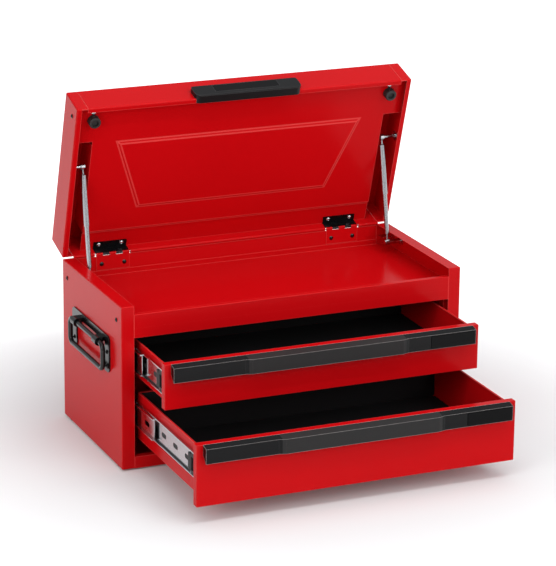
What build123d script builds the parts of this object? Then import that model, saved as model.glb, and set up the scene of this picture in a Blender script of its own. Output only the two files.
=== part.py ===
from build123d import *
import math
import os

# Portable tool box with a top compartment under a hinged lid and two drawers on
# ball-bearing slides. Millimetres, +Z up, the drawers face -Y. It is built with the
# case front at y = 0 and the floor at z = 0, and moved along Y to the row origin when
# it is written. The lid stands open and both drawers are pulled out, as they rest.

# ---------------------------------------------------------------- driving dimensions
SHEET = 1.0              # steel sheet of the case, the lid and the drawers
TOUCH = 0.3              # running gap between faces that pass each other

CASE_WIDTH = 670.0
CASE_DEPTH = 317.0
CASE_HEIGHT = 307.0      # underside to rim
FOOT_HEIGHT = 3.0
FOOT_RADIUS = 10.0
FOOT_INSET = 30.0        # foot centre from the front and from the back
SIDE_DEPTH = 24.0        # how deep the two side pans are folded
BEND_RADIUS = 2.0
RAIL_HEIGHT = 22.0       # strip under the lower drawer
RAIL_RETURN = 12.0
TRAY_DROP = 41.0         # rim to the floor of the top compartment
FASCIA_DROP = 16.0       # rim to the top of the strip above the drawers
FASCIA_HEIGHT = 44.0
TRAY_UPTURN = 10.0
BACK_DROP = 3.0          # rim to the top of the back panel, under the hinge barrels
UPRIGHT_WIDTH = 30.0
UPRIGHT_INSET = 18.0     # front upright from the front, rear upright from the back
SCREW_HEAD_RADIUS = 4.0
SCREW_HEAD_HEIGHT = 2.2
SIDE_SCREW_DROP = 30.0
SIDE_SCREW_INSET = 26.0
CLIP_LENGTH = 28.0       # small catch plate on each side wall
CLIP_WIDTH = 16.0
CLIP_DROP = 17.0
CLIP_INSET = 20.0
CLIP_THICK = 1.5

# Lid. "Out" is the distance from the hinge towards the front, "up" the height over
# the lower edge, both with the lid closed.
LID_OPEN = 73.0          # degrees from closed to the open stop
LID_DEPTH = 320.0
LID_HEIGHT = 65.0
LID_GAP = 2.0            # rim to the lower edge of the closed lid
LID_CAP = 21.0           # width of the two end caps
LID_SEAM = 0.5
LID_LIP = 9.0            # folded-in lower edge at the front
LID_CAP_LIP = 10.0
LID_BEND = 3.0
HINGE_INSET = 0.5        # hinge axis in from the back face
HINGE_REAR_CLEAR = 3.0   # rear wall of the lid over its lower edge, for the barrels
PANEL_CAP_GAP = 20.0     # inner panel of the lid to the end caps, where the stays run
PANEL_UP = 14.0
PANEL_STEP = 4.0         # the panel is set deeper near the hinge
PANEL_STEP_OUT = 38.0
PANEL_WING_DEPTH = 80.0  # along the front the panel reaches into the end caps
PANEL_WING_GAP = 9.0     # from there to the side flanges
EMBOSS_DEEP = 3.0
EMBOSS_SLOPE = 5.0
EMBOSS_FRONT = 84.0      # from the front edge of the lid
EMBOSS_FRONT_HALF = 246.0
EMBOSS_REAR_OUT = 88.0
EMBOSS_REAR_HALF = 192.0
BUMPER_RADIUS = 11.0
BUMPER_INSET = 38.0      # bumper from the outside of the lid
BUMPER_FRONT = 33.0      # and from its front edge
BUMPER_LENGTH = 14.0
CAP_SCREW_FRONT = 26.0
CAP_SCREW_UP = 22.0

GRIP_HALF = 106.0
GRIP_HIGH = 34.0
GRIP_PROUD = 9.0
GRIP_WRAP = 4.0          # how far it reaches under the lower edge of the lid
GRIP_TUCK = 8.0
GRIP_CORNER = 11.0
GRIP_PLATE_HALF = 64.0
GRIP_PLATE_HIGH = 22.0
GRIP_PLATE_THICK = 1.0

HINGE_X = 236.0
HINGE_WIDTH = 66.0
HINGE_BARREL = 2.5
HINGE_PIN = 1.5
HINGE_PIN_FIT = 0.05
HINGE_LEAF = 1.5
HINGE_KNUCKLES = 5
HINGE_BODY_DROP = 30.0   # rim to the lower edge of the body leaf
HINGE_LID_REACH = 15.0
HINGE_SCREW_SPREAD = 22.5
HINGE_SCREW_DROP = 18.0

# Lid stays: a thick rod that slides in a tube, one at each side.
STAY_INSET = 30.0        # from the side skins
STAY_LID_OUT = 182.0
STAY_LID_UP = 24.0
STAY_BODY_IN = 66.0      # stud on the case, in from the back face
STAY_BODY_DROP = 18.0    # and down from the rim
STAY_TUBE = 5.2
STAY_BORE = 4.5
STAY_ROD = 4.2
STAY_NECK = 2.2
STAY_EYE = 5.5
STAY_EYE_HALF = 3.5
STAY_STUD = 3.0
STAY_STUD_FIT = 0.05
STAY_PAD = 9.0
STAY_PAD_THICK = 2.0
STAY_END = 14.0          # fitting between the eye and the tube or the thick rod
STAY_ROOF = 3.0          # closed end of the tube
STAY_CONE = 2.0

# Slides, between the drawer side and the uprights.
SLIDE_HEIGHT = 45.0
SLIDE_THICK = 12.7
SLIDE_SHEET = 1.2
SLIDE_RACE = 2.0         # thickness of the folded ball race
SLIDE_START = 15.5
SLIDE_END_CLEAR = 5.5
SLIDE_CLIP = 17.0
SLIDE_MIDDLE_RATIO = 0.4
SLIDE_SLOT_LENGTH = 22.0
SLIDE_SLOT_HEIGHT = 9.0

# Drawers.
SLIDE_FLANGE_GAP = 0.8   # uprights in from the edge of the side flanges
FRONT_GAP = 5.5          # drawer front to the side flanges
FRONT_DEPTH = 14.0
TUB_REAR_GAP = 12.0      # rear wall of a closed drawer to the back of the case
TUB_HEM = 3.0
MAT_THICK = 3.0
MAT_CLEAR = 1.0
FRONT_BEND = 1.2
UPPER_FRONT = (156.0, 240.0)
UPPER_TUB = (167.0, 234.0)
UPPER_SLIDE_UP = 202.0
UPPER_OUT = 135.5        # travel at rest
LOWER_FRONT = (31.0, 144.0)
LOWER_TUB = (50.0, 138.0)
LOWER_SLIDE_UP = 101.0
LOWER_OUT = 286.0
TRAVEL = 292.0           # full travel of both drawers

PULL_INSET = 12.0
PULL_REACH = 14.0
PULL_BULGE = 4.0
PULL_HIGH = 27.0
PULL_FALL = 4.0          # how far the top face slopes down
PULL_WALL = 2.0
PULL_LEG = 20.0
PULL_CHEEK = 3.0
PULL_SLANT = 12.0
PLATE_LENGTH = 87.0
PLATE_HIGH = 23.0
PLATE_THICK = 1.2
PLATE_INSET = 3.0

# Side handles.
HANDLE_Y = 158.0         # middle of the handle, from the front
HANDLE_PLATE_LENGTH = 200.0
HANDLE_PLATE_LOW = 165.0
HANDLE_PLATE_HIGH = 234.0
HANDLE_PLATE_THICK = 2.5
HANDLE_LEG = 24.0
HANDLE_BAND = 14.0
HANDLE_PIVOT_UP = 217.0
HANDLE_BAIL_LENGTH = 176.0
HANDLE_BAIL_DROP = 47.0
HANDLE_BAIL = 4.6
HANDLE_BEND = 12.0
HANDLE_BARREL = 8.0
HANDLE_BARREL_LENGTH = 20.0
HANDLE_BARREL_Y = 58.0
HANDLE_FIT = 0.08
HANDLE_SCREW_UP = (177.0, 203.0)

# ---------------------------------------------------------------- derived places
UNDER = FOOT_HEIGHT
RIM = UNDER + CASE_HEIGHT
HALF = CASE_WIDTH / 2
FLANGE_EDGE = HALF - SIDE_DEPTH
SKIN = HALF - SHEET                      # inner face of the side skins
TRAY_Z = RIM - TRAY_DROP
BACK_IN = CASE_DEPTH - SHEET             # inner face of the back panel
HINGE_Y = CASE_DEPTH - HINGE_INSET
HINGE_Z = RIM + LID_GAP / 2
LID_EDGE = RIM + LID_GAP
SLIDE_WALL = FLANGE_EDGE - SLIDE_FLANGE_GAP      # face of the uprights
TUB_HALF = SLIDE_WALL - SLIDE_THICK
FRONT_HALF = FLANGE_EDGE - FRONT_GAP
TUB_REAR = CASE_DEPTH - TUB_REAR_GAP
SLIDE_BACK = CASE_DEPTH - SLIDE_END_CLEAR
OPEN = math.radians(LID_OPEN)
PANEL_HALF = HALF - LID_CAP - PANEL_CAP_GAP
PANEL_WING_OUT = LID_DEPTH - PANEL_WING_DEPTH
PANEL_FLANGE_OUT = PANEL_WING_OUT - PANEL_WING_GAP
EMBOSS_FRONT_OUT = LID_DEPTH - EMBOSS_FRONT
BUMPER_X = HALF - BUMPER_INSET
BUMPER_OUT = LID_DEPTH - BUMPER_FRONT
CAP_SCREW_OUT = LID_DEPTH - CAP_SCREW_FRONT
STAY_X = SKIN - STAY_INSET


def stay_points():
    """Both stay studs about the hinge axis, in (y, z): case, lid open, lid closed."""
    case = (HINGE_INSET - STAY_BODY_IN, -STAY_BODY_DROP - (HINGE_Z - RIM))
    shut = (-STAY_LID_OUT, LID_GAP / 2 + STAY_LID_UP)
    opened = (
        shut[0] * math.cos(OPEN) + shut[1] * math.sin(OPEN),
        -shut[0] * math.sin(OPEN) + shut[1] * math.cos(OPEN),
    )
    return case, opened, shut


STAY_CASE, STAY_OPENED, STAY_SHUT = stay_points()
STAY_LONG = math.dist(STAY_CASE, STAY_OPENED)
STAY_SHORT = math.dist(STAY_CASE, STAY_SHUT)
STAY_ANGLE = math.degrees(
    math.atan2(STAY_OPENED[1] - STAY_CASE[1], STAY_OPENED[0] - STAY_CASE[0])
)
STAY_ANGLE_SHUT = math.degrees(
    math.atan2(STAY_SHUT[1] - STAY_CASE[1], STAY_SHUT[0] - STAY_CASE[0])
)
STAY_PART = STAY_SHORT - STAY_END        # length of the rod and of the tube
STAY_Y = HINGE_Y + STAY_CASE[0]
STAY_Z = HINGE_Z + STAY_CASE[1]

# The row origin is under the middle of the box that holds the part at rest.
FRONT_REACH = -LOWER_OUT - PULL_REACH - PULL_BULGE
LID_REAR = LID_BEND * (1 - math.cos(OPEN) - math.sin(OPEN)) + (
    LID_HEIGHT + LID_GAP / 2
) * math.sin(OPEN) + HINGE_INSET * math.cos(OPEN)
SHIFT_Y = -(FRONT_REACH + HINGE_Y + LID_REAR) / 2

parts = {}


# ---------------------------------------------------------------- helpers
def block(x, y, z):
    """A box from three (low, high) pairs."""
    size = Box(x[1] - x[0], y[1] - y[0], z[1] - z[0])
    return Pos((x[0] + x[1]) / 2, (y[0] + y[1]) / 2, (z[0] + z[1]) / 2) * size


def along_x(points, x0, x1):
    """A closed (y, z) outline drawn out from x0 to x1."""
    face = make_face(Polyline(*points, close=True))
    return Pos(x0, 0, 0) * extrude(Plane.YZ * face, amount=x1 - x0)


def along_y(points, y0, y1):
    """A closed (x, z) outline drawn out from y0 to y1."""
    face = make_face(Polyline(*points, close=True))
    return Pos(0, y0, 0) * extrude(Plane.XZ * face, amount=y0 - y1)


def folded(points, x0, x1, thick=SHEET):
    """A sheet with square folds: (y, z) middle line points, drawn out along X."""
    section = None
    for a, b in zip(points, points[1:]):
        strip = Pos((a[0] + b[0]) / 2, (a[1] + b[1]) / 2) * Rectangle(
            abs(b[0] - a[0]) + thick, abs(b[1] - a[1]) + thick
        )
        section = strip if section is None else section + strip
    return Pos(x0, 0, 0) * extrude(Plane.YZ * section, amount=x1 - x0)


def disc_x(radius, x0, x1, y, z):
    """A cylinder along X."""
    return Pos((x0 + x1) / 2, y, z) * Rot(0, 90, 0) * Cylinder(radius, abs(x1 - x0))


def disc_y(radius, y0, y1, x, z):
    """A cylinder along Y."""
    return Pos(x, (y0 + y1) / 2, z) * Rot(90, 0, 0) * Cylinder(radius, abs(y1 - y0))


def screw_head(socket=True):
    """A domed screw head on the XY plane, its socket on top."""
    dome = make_face(
        Curve() + [
            Line((0, 0), (SCREW_HEAD_RADIUS, 0)),
            Line((SCREW_HEAD_RADIUS, 0), (SCREW_HEAD_RADIUS, SCREW_HEAD_HEIGHT * 0.3)),
            ThreePointArc(
                (SCREW_HEAD_RADIUS, SCREW_HEAD_HEIGHT * 0.3),
                (SCREW_HEAD_RADIUS * 0.62, SCREW_HEAD_HEIGHT * 0.84),
                (0, SCREW_HEAD_HEIGHT),
            ),
            Line((0, SCREW_HEAD_HEIGHT), (0, 0)),
        ]
    )
    head = revolve(Plane.XZ * dome, Axis.Z)
    if socket:
        head -= Pos(0, 0, SCREW_HEAD_HEIGHT) * Cylinder(
            SCREW_HEAD_RADIUS * 0.4, SCREW_HEAD_HEIGHT
        )
    return head


def mirrored(shape):
    """The same piece on the other side."""
    return mirror(shape, about=Plane.YZ)


def lid_closed(out, up):
    """A (y, z) point from the distance out of the hinge and the height in the lid."""
    return (HINGE_Y - out, LID_EDGE + up)


def opened(shape):
    """Swings a piece modelled on the closed lid up to the open stop."""
    hinge = Pos(0, HINGE_Y, HINGE_Z)
    return hinge * Rot(-LID_OPEN, 0, 0) * hinge.inverse() * shape


def both(name, right):
    """Stores a piece and its mirror image as the right and left nodes."""
    parts["right_" + name] = right
    parts["left_" + name] = mirrored(right)


def group(name, pieces):
    """Stores separate solids as one node."""
    parts[name] = Compound(children=[s for p in pieces for s in p.solids()])


def rounded_block(x, y, z, radius, open_face):
    """A box whose bends are all rounded, except those of its open side."""
    solid = block(x, y, z)
    kept = solid.faces().sort_by(open_face)[-1].edges()
    return fillet([e for e in solid.edges() if e not in kept], radius)


def rounded_pan(x, y, z, radius, open_face):
    """A folded pan with rounded outer bends, open on one side."""
    inner = [[low + SHEET, high - SHEET] for low, high in (x, y, z)]
    axis = [abs(v) > 0.5 for v in open_face.direction].index(True)
    end = 1 if tuple(open_face.direction)[axis] > 0 else 0
    inner[axis][end] = (x, y, z)[axis][end]
    hollow = rounded_block(*inner, radius - SHEET, open_face)
    return rounded_block(x, y, z, radius, open_face) - hollow


# ---------------------------------------------------------------- case
def side_panel():
    """One side: a shallow pan whose folds make the front, top, rear and bottom rims."""
    return rounded_pan(
        (FLANGE_EDGE, HALF), (0, CASE_DEPTH), (UNDER, RIM), BEND_RADIUS, -Axis.X
    )


def back_panel():
    """The rear sheet between the rims of the side pans, with a hemmed top edge."""
    sheet = block((-FLANGE_EDGE, FLANGE_EDGE), (BACK_IN, CASE_DEPTH), (UNDER, RIM - BACK_DROP))
    lap = block(
        (-SKIN + BEND_RADIUS, SKIN - BEND_RADIUS),
        (BACK_IN - SHEET, BACK_IN),
        (UNDER + 2 * SHEET, TRAY_Z - SHEET),
    )
    return sheet + lap


def base_panel():
    """The bottom sheet with the strip under the lower drawer."""
    top = UNDER + RAIL_HEIGHT
    strip = folded(
        [
            (SHEET / 2, UNDER + SHEET / 2),
            (SHEET / 2, top - SHEET / 2),
            (RAIL_RETURN, top - SHEET / 2),
        ],
        -FLANGE_EDGE,
        FLANGE_EDGE,
    )
    floor = block(
        (-FLANGE_EDGE, FLANGE_EDGE), (SHEET, BACK_IN - SHEET), (UNDER + SHEET, UNDER + 2 * SHEET)
    )
    wings = block(
        (-SKIN + BEND_RADIUS, SKIN - BEND_RADIUS),
        (SHEET + BEND_RADIUS, BACK_IN - SHEET),
        (UNDER + SHEET, UNDER + 2 * SHEET),
    )
    return strip + floor + wings


def top_tray():
    """Floor of the top compartment, folded down in front as the strip over the drawers."""
    fascia_top = RIM - FASCIA_DROP
    fascia_low = fascia_top - FASCIA_HEIGHT
    mid = SHEET / 2
    strip = folded(
        [
            (8, fascia_top - mid),
            (mid, fascia_top - mid),
            (mid, fascia_low + mid),
            (8, fascia_low + mid),
        ],
        -FLANGE_EDGE,
        FLANGE_EDGE,
    )
    strip = fillet(
        strip.edges().filter_by(Axis.X).group_by(Axis.Y)[0], SHEET * 0.9
    )
    floor = block((-FLANGE_EDGE, FLANGE_EDGE), (SHEET, BACK_IN), (TRAY_Z - SHEET, TRAY_Z))
    floor += block(
        (-SKIN, SKIN), (SHEET + BEND_RADIUS, BACK_IN - BEND_RADIUS), (TRAY_Z - SHEET, TRAY_Z)
    )
    upturn = block(
        (-FLANGE_EDGE, FLANGE_EDGE), (BACK_IN - SHEET, BACK_IN), (TRAY_Z, TRAY_Z + TRAY_UPTURN)
    )
    return strip + floor + upturn


def slide_upright(y):
    """A channel that fills the depth of the side pan and carries the slides."""
    low = UNDER + 2 * SHEET
    high = TRAY_Z - SHEET
    outline = [
        (SLIDE_WALL, y - UPRIGHT_WIDTH / 2),
        (SKIN, y - UPRIGHT_WIDTH / 2),
        (SKIN, y - UPRIGHT_WIDTH / 2 + SHEET),
        (SLIDE_WALL + SHEET, y - UPRIGHT_WIDTH / 2 + SHEET),
        (SLIDE_WALL + SHEET, y + UPRIGHT_WIDTH / 2 - SHEET),
        (SKIN, y + UPRIGHT_WIDTH / 2 - SHEET),
        (SKIN, y + UPRIGHT_WIDTH / 2),
        (SLIDE_WALL, y + UPRIGHT_WIDTH / 2),
    ]
    face = make_face(Polyline(*outline, close=True))
    return Pos(0, 0, low) * extrude(face, amount=high - low)


def case():
    both("side_panel", side_panel())
    parts["back_panel"] = back_panel()
    parts["base_panel"] = base_panel()
    parts["top_tray"] = top_tray()
    front = UPRIGHT_INSET + UPRIGHT_WIDTH / 2
    uprights = [slide_upright(front), slide_upright(CASE_DEPTH - front)]
    group("slide_uprights", uprights + [mirrored(u) for u in uprights])
    feet = []
    for x in (-1, 1):
        for y in (FOOT_INSET, CASE_DEPTH - FOOT_INSET):
            foot = Pos(x * (HALF - SIDE_DEPTH / 2), y, FOOT_HEIGHT / 2) * Cylinder(
                FOOT_RADIUS, FOOT_HEIGHT
            )
            feet.append(fillet(foot.edges().group_by(Axis.Z)[0], FOOT_HEIGHT / 3))
    group("feet", feet)
    screws = []
    for y in (SIDE_SCREW_INSET, CASE_DEPTH - SIDE_SCREW_INSET):
        screw = Pos(HALF, y, RIM - SIDE_SCREW_DROP) * Rot(0, 90, 0) * screw_head()
        screws += [screw, mirrored(screw)]
    group("side_screws", screws)
    plate = block(
        (SKIN - CLIP_LENGTH, SKIN),
        (CASE_DEPTH - CLIP_INSET - CLIP_WIDTH, CASE_DEPTH - CLIP_INSET),
        (RIM - CLIP_DROP - CLIP_THICK, RIM - CLIP_DROP),
    )
    plate += block(
        (SKIN - CLIP_THICK, SKIN),
        (CASE_DEPTH - CLIP_INSET - CLIP_WIDTH, CASE_DEPTH - CLIP_INSET),
        (RIM - CLIP_DROP - CLIP_WIDTH, RIM - CLIP_DROP),
    )
    group("lid_catch_plates", [plate, mirrored(plate)])


# ---------------------------------------------------------------- lid
def lid_shell():
    """The outer skin between the end caps: top, front with its folded lip, and rear."""
    wide = LID_DEPTH + HINGE_INSET
    middle = Pos(CASE_DEPTH - wide / 2, LID_EDGE + LID_HEIGHT / 2)
    skin = middle * (
        RectangleRounded(wide, LID_HEIGHT, LID_BEND)
        - RectangleRounded(wide - 2 * SHEET, LID_HEIGHT - 2 * SHEET, LID_BEND - SHEET)
    )
    mouth = (HINGE_Y - LID_DEPTH + LID_LIP, CASE_DEPTH)
    skin -= Pos((mouth[0] + mouth[1]) / 2, LID_EDGE) * Rectangle(
        mouth[1] - mouth[0], 2 * HINGE_REAR_CLEAR
    )
    half = HALF - LID_CAP - LID_SEAM
    return Pos(-half, 0, 0) * extrude(Plane.YZ * skin, amount=2 * half)


def lid_cap():
    """An end cap: a deep pan, its lower edge folded in over the rim of the case."""
    depth = (HINGE_Y - LID_DEPTH, CASE_DEPTH)
    cap = rounded_pan(
        (HALF - LID_CAP, HALF), depth, (LID_EDGE, LID_EDGE + LID_HEIGHT), LID_BEND, -Axis.X
    )
    return cap - block(
        (HALF - LID_CAP, HALF - LID_CAP_LIP),
        (depth[0] + SHEET, depth[1] - SHEET),
        (LID_EDGE - SHEET, LID_EDGE + SHEET),
    )


def emboss(lift):
    """The raised trapezoid of the inner panel, as a solid with sloping sides."""
    top = LID_EDGE + PANEL_UP + lift
    corners = [
        (EMBOSS_FRONT_HALF, HINGE_Y - EMBOSS_FRONT_OUT),
        (EMBOSS_REAR_HALF, HINGE_Y - EMBOSS_REAR_OUT),
        (-EMBOSS_REAR_HALF, HINGE_Y - EMBOSS_REAR_OUT),
        (-EMBOSS_FRONT_HALF, HINGE_Y - EMBOSS_FRONT_OUT),
    ]
    base = make_face(Polyline(*corners, close=True))
    crown = offset(base, amount=-EMBOSS_SLOPE, kind=Kind.INTERSECTION)
    return loft([Pos(0, 0, top) * base, Pos(0, 0, top - EMBOSS_DEEP) * crown], ruled=True)


def lid_inner_panel():
    """The inner skin: a stepped sheet with side flanges and a raised trapezoid."""
    low = PANEL_UP
    deep = PANEL_UP + PANEL_STEP
    outline = [
        (SHEET - HINGE_INSET, deep),
        (PANEL_STEP_OUT, deep),
        (PANEL_STEP_OUT + PANEL_STEP, low),
        (LID_DEPTH - SHEET, low),
        (LID_DEPTH - SHEET, low + SHEET),
        (PANEL_STEP_OUT + PANEL_STEP, low + SHEET),
        (PANEL_STEP_OUT, deep + SHEET),
        (SHEET - HINGE_INSET, deep + SHEET),
    ]
    panel = along_x([lid_closed(*p) for p in outline], -PANEL_HALF, PANEL_HALF)
    panel += emboss(0)
    panel -= emboss(SHEET)
    flange = block(
        (PANEL_HALF - SHEET, PANEL_HALF),
        (HINGE_Y - PANEL_FLANGE_OUT, HINGE_Y - PANEL_STEP_OUT - PANEL_STEP),
        (LID_EDGE + low, LID_EDGE + LID_HEIGHT - SHEET),
    )
    wing_half = SKIN - LID_BEND
    wings = block(
        (-wing_half, wing_half),
        (HINGE_Y - LID_DEPTH + SHEET + LID_BEND, HINGE_Y - PANEL_WING_OUT),
        (LID_EDGE + low, LID_EDGE + low + SHEET),
    )
    return panel + wings + flange + mirrored(flange)


def lid_grip():
    """The moulded pull on the front edge, hooked under the lip."""
    face = -LID_DEPTH
    section = [
        (face, GRIP_HIGH),
        (face - GRIP_PROUD * 0.7, GRIP_HIGH),
        (face - GRIP_PROUD, GRIP_HIGH - 4),
        (face - GRIP_PROUD, -GRIP_WRAP / 2),
        (face - GRIP_PROUD + 2, -GRIP_WRAP),
        (face + GRIP_TUCK, -GRIP_WRAP),
        (face + GRIP_TUCK, 0),
        (face, 0),
    ]
    section = [(HINGE_Y + y, LID_EDGE + z) for y, z in section]
    grip = along_x(section, -GRIP_HALF, GRIP_HALF)
    high = GRIP_HIGH + GRIP_WRAP
    outline = Pos(0, LID_EDGE + GRIP_HIGH - high / 2) * RectangleRounded(
        2 * GRIP_HALF, high, GRIP_CORNER
    )
    sweep_box = extrude(Plane.XZ * outline, amount=2 * GRIP_PROUD + 2 * GRIP_TUCK, both=True)
    grip = grip & (Pos(0, HINGE_Y + face, 0) * sweep_box)
    front = HINGE_Y + face - GRIP_PROUD
    return grip - block(
        (-GRIP_PLATE_HALF, GRIP_PLATE_HALF),
        (front, front + GRIP_PLATE_THICK),
        (grip_plate_low(), grip_plate_low() + GRIP_PLATE_HIGH),
    )


def grip_plate_low():
    """Lower edge of the bare plate in the lid's grip."""
    return LID_EDGE + (GRIP_HIGH - GRIP_PLATE_HIGH) / 2


def lid():
    both("lid_cap", opened(lid_cap()))
    parts["lid_shell"] = opened(lid_shell())
    parts["lid_inner_panel"] = opened(lid_inner_panel())
    parts["lid_grip"] = opened(lid_grip())
    front = HINGE_Y - LID_DEPTH - GRIP_PROUD
    plate = block(
        (-GRIP_PLATE_HALF, GRIP_PLATE_HALF),
        (front, front + GRIP_PLATE_THICK),
        (grip_plate_low(), grip_plate_low() + GRIP_PLATE_HIGH),
    )
    parts["lid_grip_plate"] = opened(plate)

    y, z = lid_closed(BUMPER_OUT, PANEL_UP)
    cup = Pos(0, 0, -BUMPER_LENGTH / 2) * Cylinder(BUMPER_RADIUS, BUMPER_LENGTH)
    cup = fillet(cup.edges().group_by(Axis.Z)[0], BUMPER_RADIUS * 0.15)
    cup -= Pos(0, 0, -BUMPER_LENGTH) * Cylinder(BUMPER_RADIUS * 0.6, BUMPER_LENGTH * 0.6)
    bumper = Pos(BUMPER_X, y, z) * cup
    group("lid_bumpers", [opened(b) for b in (bumper, mirrored(bumper))])

    y, z = lid_closed(BUMPER_OUT + BUMPER_RADIUS + SCREW_HEAD_RADIUS, PANEL_UP)
    inner = Pos(BUMPER_X, y, z) * Rot(180, 0, 0) * screw_head()
    group("lid_bumper_screws", [opened(s) for s in (inner, mirrored(inner))])
    y, z = lid_closed(CAP_SCREW_OUT, CAP_SCREW_UP)
    cap_screw = Pos(HALF, y, z) * Rot(0, 90, 0) * screw_head()
    group("lid_cap_screws", [opened(s) for s in (cap_screw, mirrored(cap_screw))])
    y, z = lid_closed(STAY_LID_OUT, STAY_LID_UP)
    pad = disc_x(STAY_PAD, SKIN - STAY_PAD_THICK, SKIN, y, z)
    group("lid_stay_pads", [opened(p) for p in (pad, mirrored(pad))])


# ---------------------------------------------------------------- hinges
def knuckle_spans():
    """The (start, end) of each knuckle along X, about the middle of a hinge."""
    pitch = HINGE_WIDTH / HINGE_KNUCKLES
    return [
        (-HINGE_WIDTH / 2 + i * pitch + TOUCH / 2, -HINGE_WIDTH / 2 + (i + 1) * pitch - TOUCH / 2)
        for i in range(HINGE_KNUCKLES)
    ]


def barrel(spans):
    """Rolled knuckles on the hinge axis."""
    rolled = None
    for x0, x1 in spans:
        ring = disc_x(HINGE_BARREL, x0, x1, HINGE_Y, HINGE_Z)
        rolled = ring if rolled is None else rolled + ring
    return rolled


def hinge_body_leaf():
    """The leaf on the back panel, with its outer and middle knuckles."""
    face = BACK_IN
    low = RIM - HINGE_BODY_DROP
    clear = HINGE_Z - HINGE_BARREL - TOUCH
    half = HINGE_WIDTH / 2
    leaf = block((-half, half), (face - HINGE_LEAF, face), (low, clear))
    spans = knuckle_spans()[0::2]
    for x0, x1 in spans:
        leaf += block((x0, x1), (face - HINGE_LEAF, face), (clear, HINGE_Z - HINGE_PIN))
    leaf += barrel(spans)
    return leaf - disc_x(HINGE_PIN + HINGE_PIN_FIT, -half, half, HINGE_Y, HINGE_Z)


def hinge_lid_leaf():
    """The leaf that lies up the rear wall of the lid and along its inner panel."""
    face = BACK_IN
    under = LID_EDGE + PANEL_UP + PANEL_STEP
    clear = HINGE_Z + HINGE_BARREL + TOUCH
    half = HINGE_WIDTH / 2
    leaf = block((-half, half), (face - HINGE_LEAF, face), (clear, under))
    leaf += block(
        (-half, half), (face - HINGE_LID_REACH, face), (under - HINGE_LEAF, under)
    )
    spans = knuckle_spans()[1::2]
    for x0, x1 in spans:
        leaf += block((x0, x1), (face - HINGE_LEAF, face), (HINGE_Z + HINGE_PIN, clear))
    leaf += barrel(spans)
    return leaf - disc_x(HINGE_PIN + HINGE_PIN_FIT, -half, half, HINGE_Y, HINGE_Z)


def hinge_pin():
    """The pin with a flattened head at each end."""
    half = HINGE_WIDTH / 2
    pin = disc_x(HINGE_PIN, -half - 1, half + 1, HINGE_Y, HINGE_Z)
    for side in (-1, 1):
        pin += disc_x(
            HINGE_BARREL * 0.8, side * (half + TOUCH), side * (half + 1.5), HINGE_Y, HINGE_Z
        )
    return pin


def hinges():
    places = [Pos(-HINGE_X, 0, 0), Pos(HINGE_X, 0, 0)]
    group("hinge_body_leaves", [p * hinge_body_leaf() for p in places])
    group("hinge_lid_leaves", [opened(p * hinge_lid_leaf()) for p in places])
    group("hinge_pins", [p * hinge_pin() for p in places])
    body_screws = []
    lid_screws = []
    under = LID_EDGE + PANEL_UP + PANEL_STEP - HINGE_LEAF
    for p in places:
        for x in (-HINGE_SCREW_SPREAD, HINGE_SCREW_SPREAD):
            body_screws.append(
                p * Pos(x, BACK_IN - HINGE_LEAF, RIM - HINGE_SCREW_DROP)
                * Rot(90, 0, 0) * screw_head()
            )
            lid_screws.append(
                opened(p * Pos(x, BACK_IN - HINGE_LID_REACH / 2 - HINGE_LEAF, under)
                       * Rot(180, 0, 0) * screw_head())
            )
    group("hinge_body_screws", body_screws)
    group("hinge_lid_screws", lid_screws)


# ---------------------------------------------------------------- lid stays
def stay_frame():
    """Places a stay drawn up from its lower eye on the stud of the case."""
    return Pos(STAY_X, STAY_Y, STAY_Z) * Rot(STAY_ANGLE - 90, 0, 0)


def stay_rod():
    """The lower half: eye, thin neck and the thick rod that slides in the tube."""
    eye = Rot(0, 90, 0) * Cylinder(STAY_EYE, 2 * STAY_EYE_HALF)
    neck = Pos(0, 0, STAY_END / 2) * Cylinder(STAY_NECK, STAY_END)
    cone = Pos(0, 0, STAY_END + STAY_CONE / 2) * Cone(STAY_NECK, STAY_ROD, STAY_CONE)
    start = STAY_END + STAY_CONE
    length = STAY_PART - STAY_ROOF - TOUCH - start
    rod = Pos(0, 0, start + length / 2) * Cylinder(STAY_ROD, length)
    bore = Rot(0, 90, 0) * Cylinder(STAY_STUD + STAY_STUD_FIT, 3 * STAY_EYE)
    return eye + neck + cone + rod - bore


def stay_tube():
    """The upper half: the tube, its eye and the stud that turns on the lid's pad."""
    end = STAY_LONG
    start = STAY_LONG - STAY_PART
    closed = end - STAY_END
    tube = Pos(0, 0, (start + closed) / 2) * Cylinder(STAY_TUBE, closed - start)
    tube = chamfer(tube.edges().group_by(Axis.Z)[-1], STAY_TUBE * 0.3)
    roof = closed - STAY_ROOF
    tube -= Pos(0, 0, (start + roof) / 2) * Cylinder(STAY_BORE, roof - start)
    neck = Pos(0, 0, (closed + end) / 2 - SHEET) * Cylinder(STAY_NECK, end - closed + SHEET)
    eye = Pos(0, 0, end) * Rot(0, 90, 0) * Cylinder(STAY_EYE, 2 * STAY_EYE_HALF)
    reach = SKIN - STAY_PAD_THICK - TOUCH - STAY_X
    stud = Pos(reach / 2, 0, end) * Rot(0, 90, 0) * Cylinder(STAY_STUD, reach)
    foot = Pos(reach - 2, 0, end) * Rot(0, 90, 0) * Cylinder(STAY_STUD * 1.5, 4)
    return tube + neck + eye + stud + foot


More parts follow.
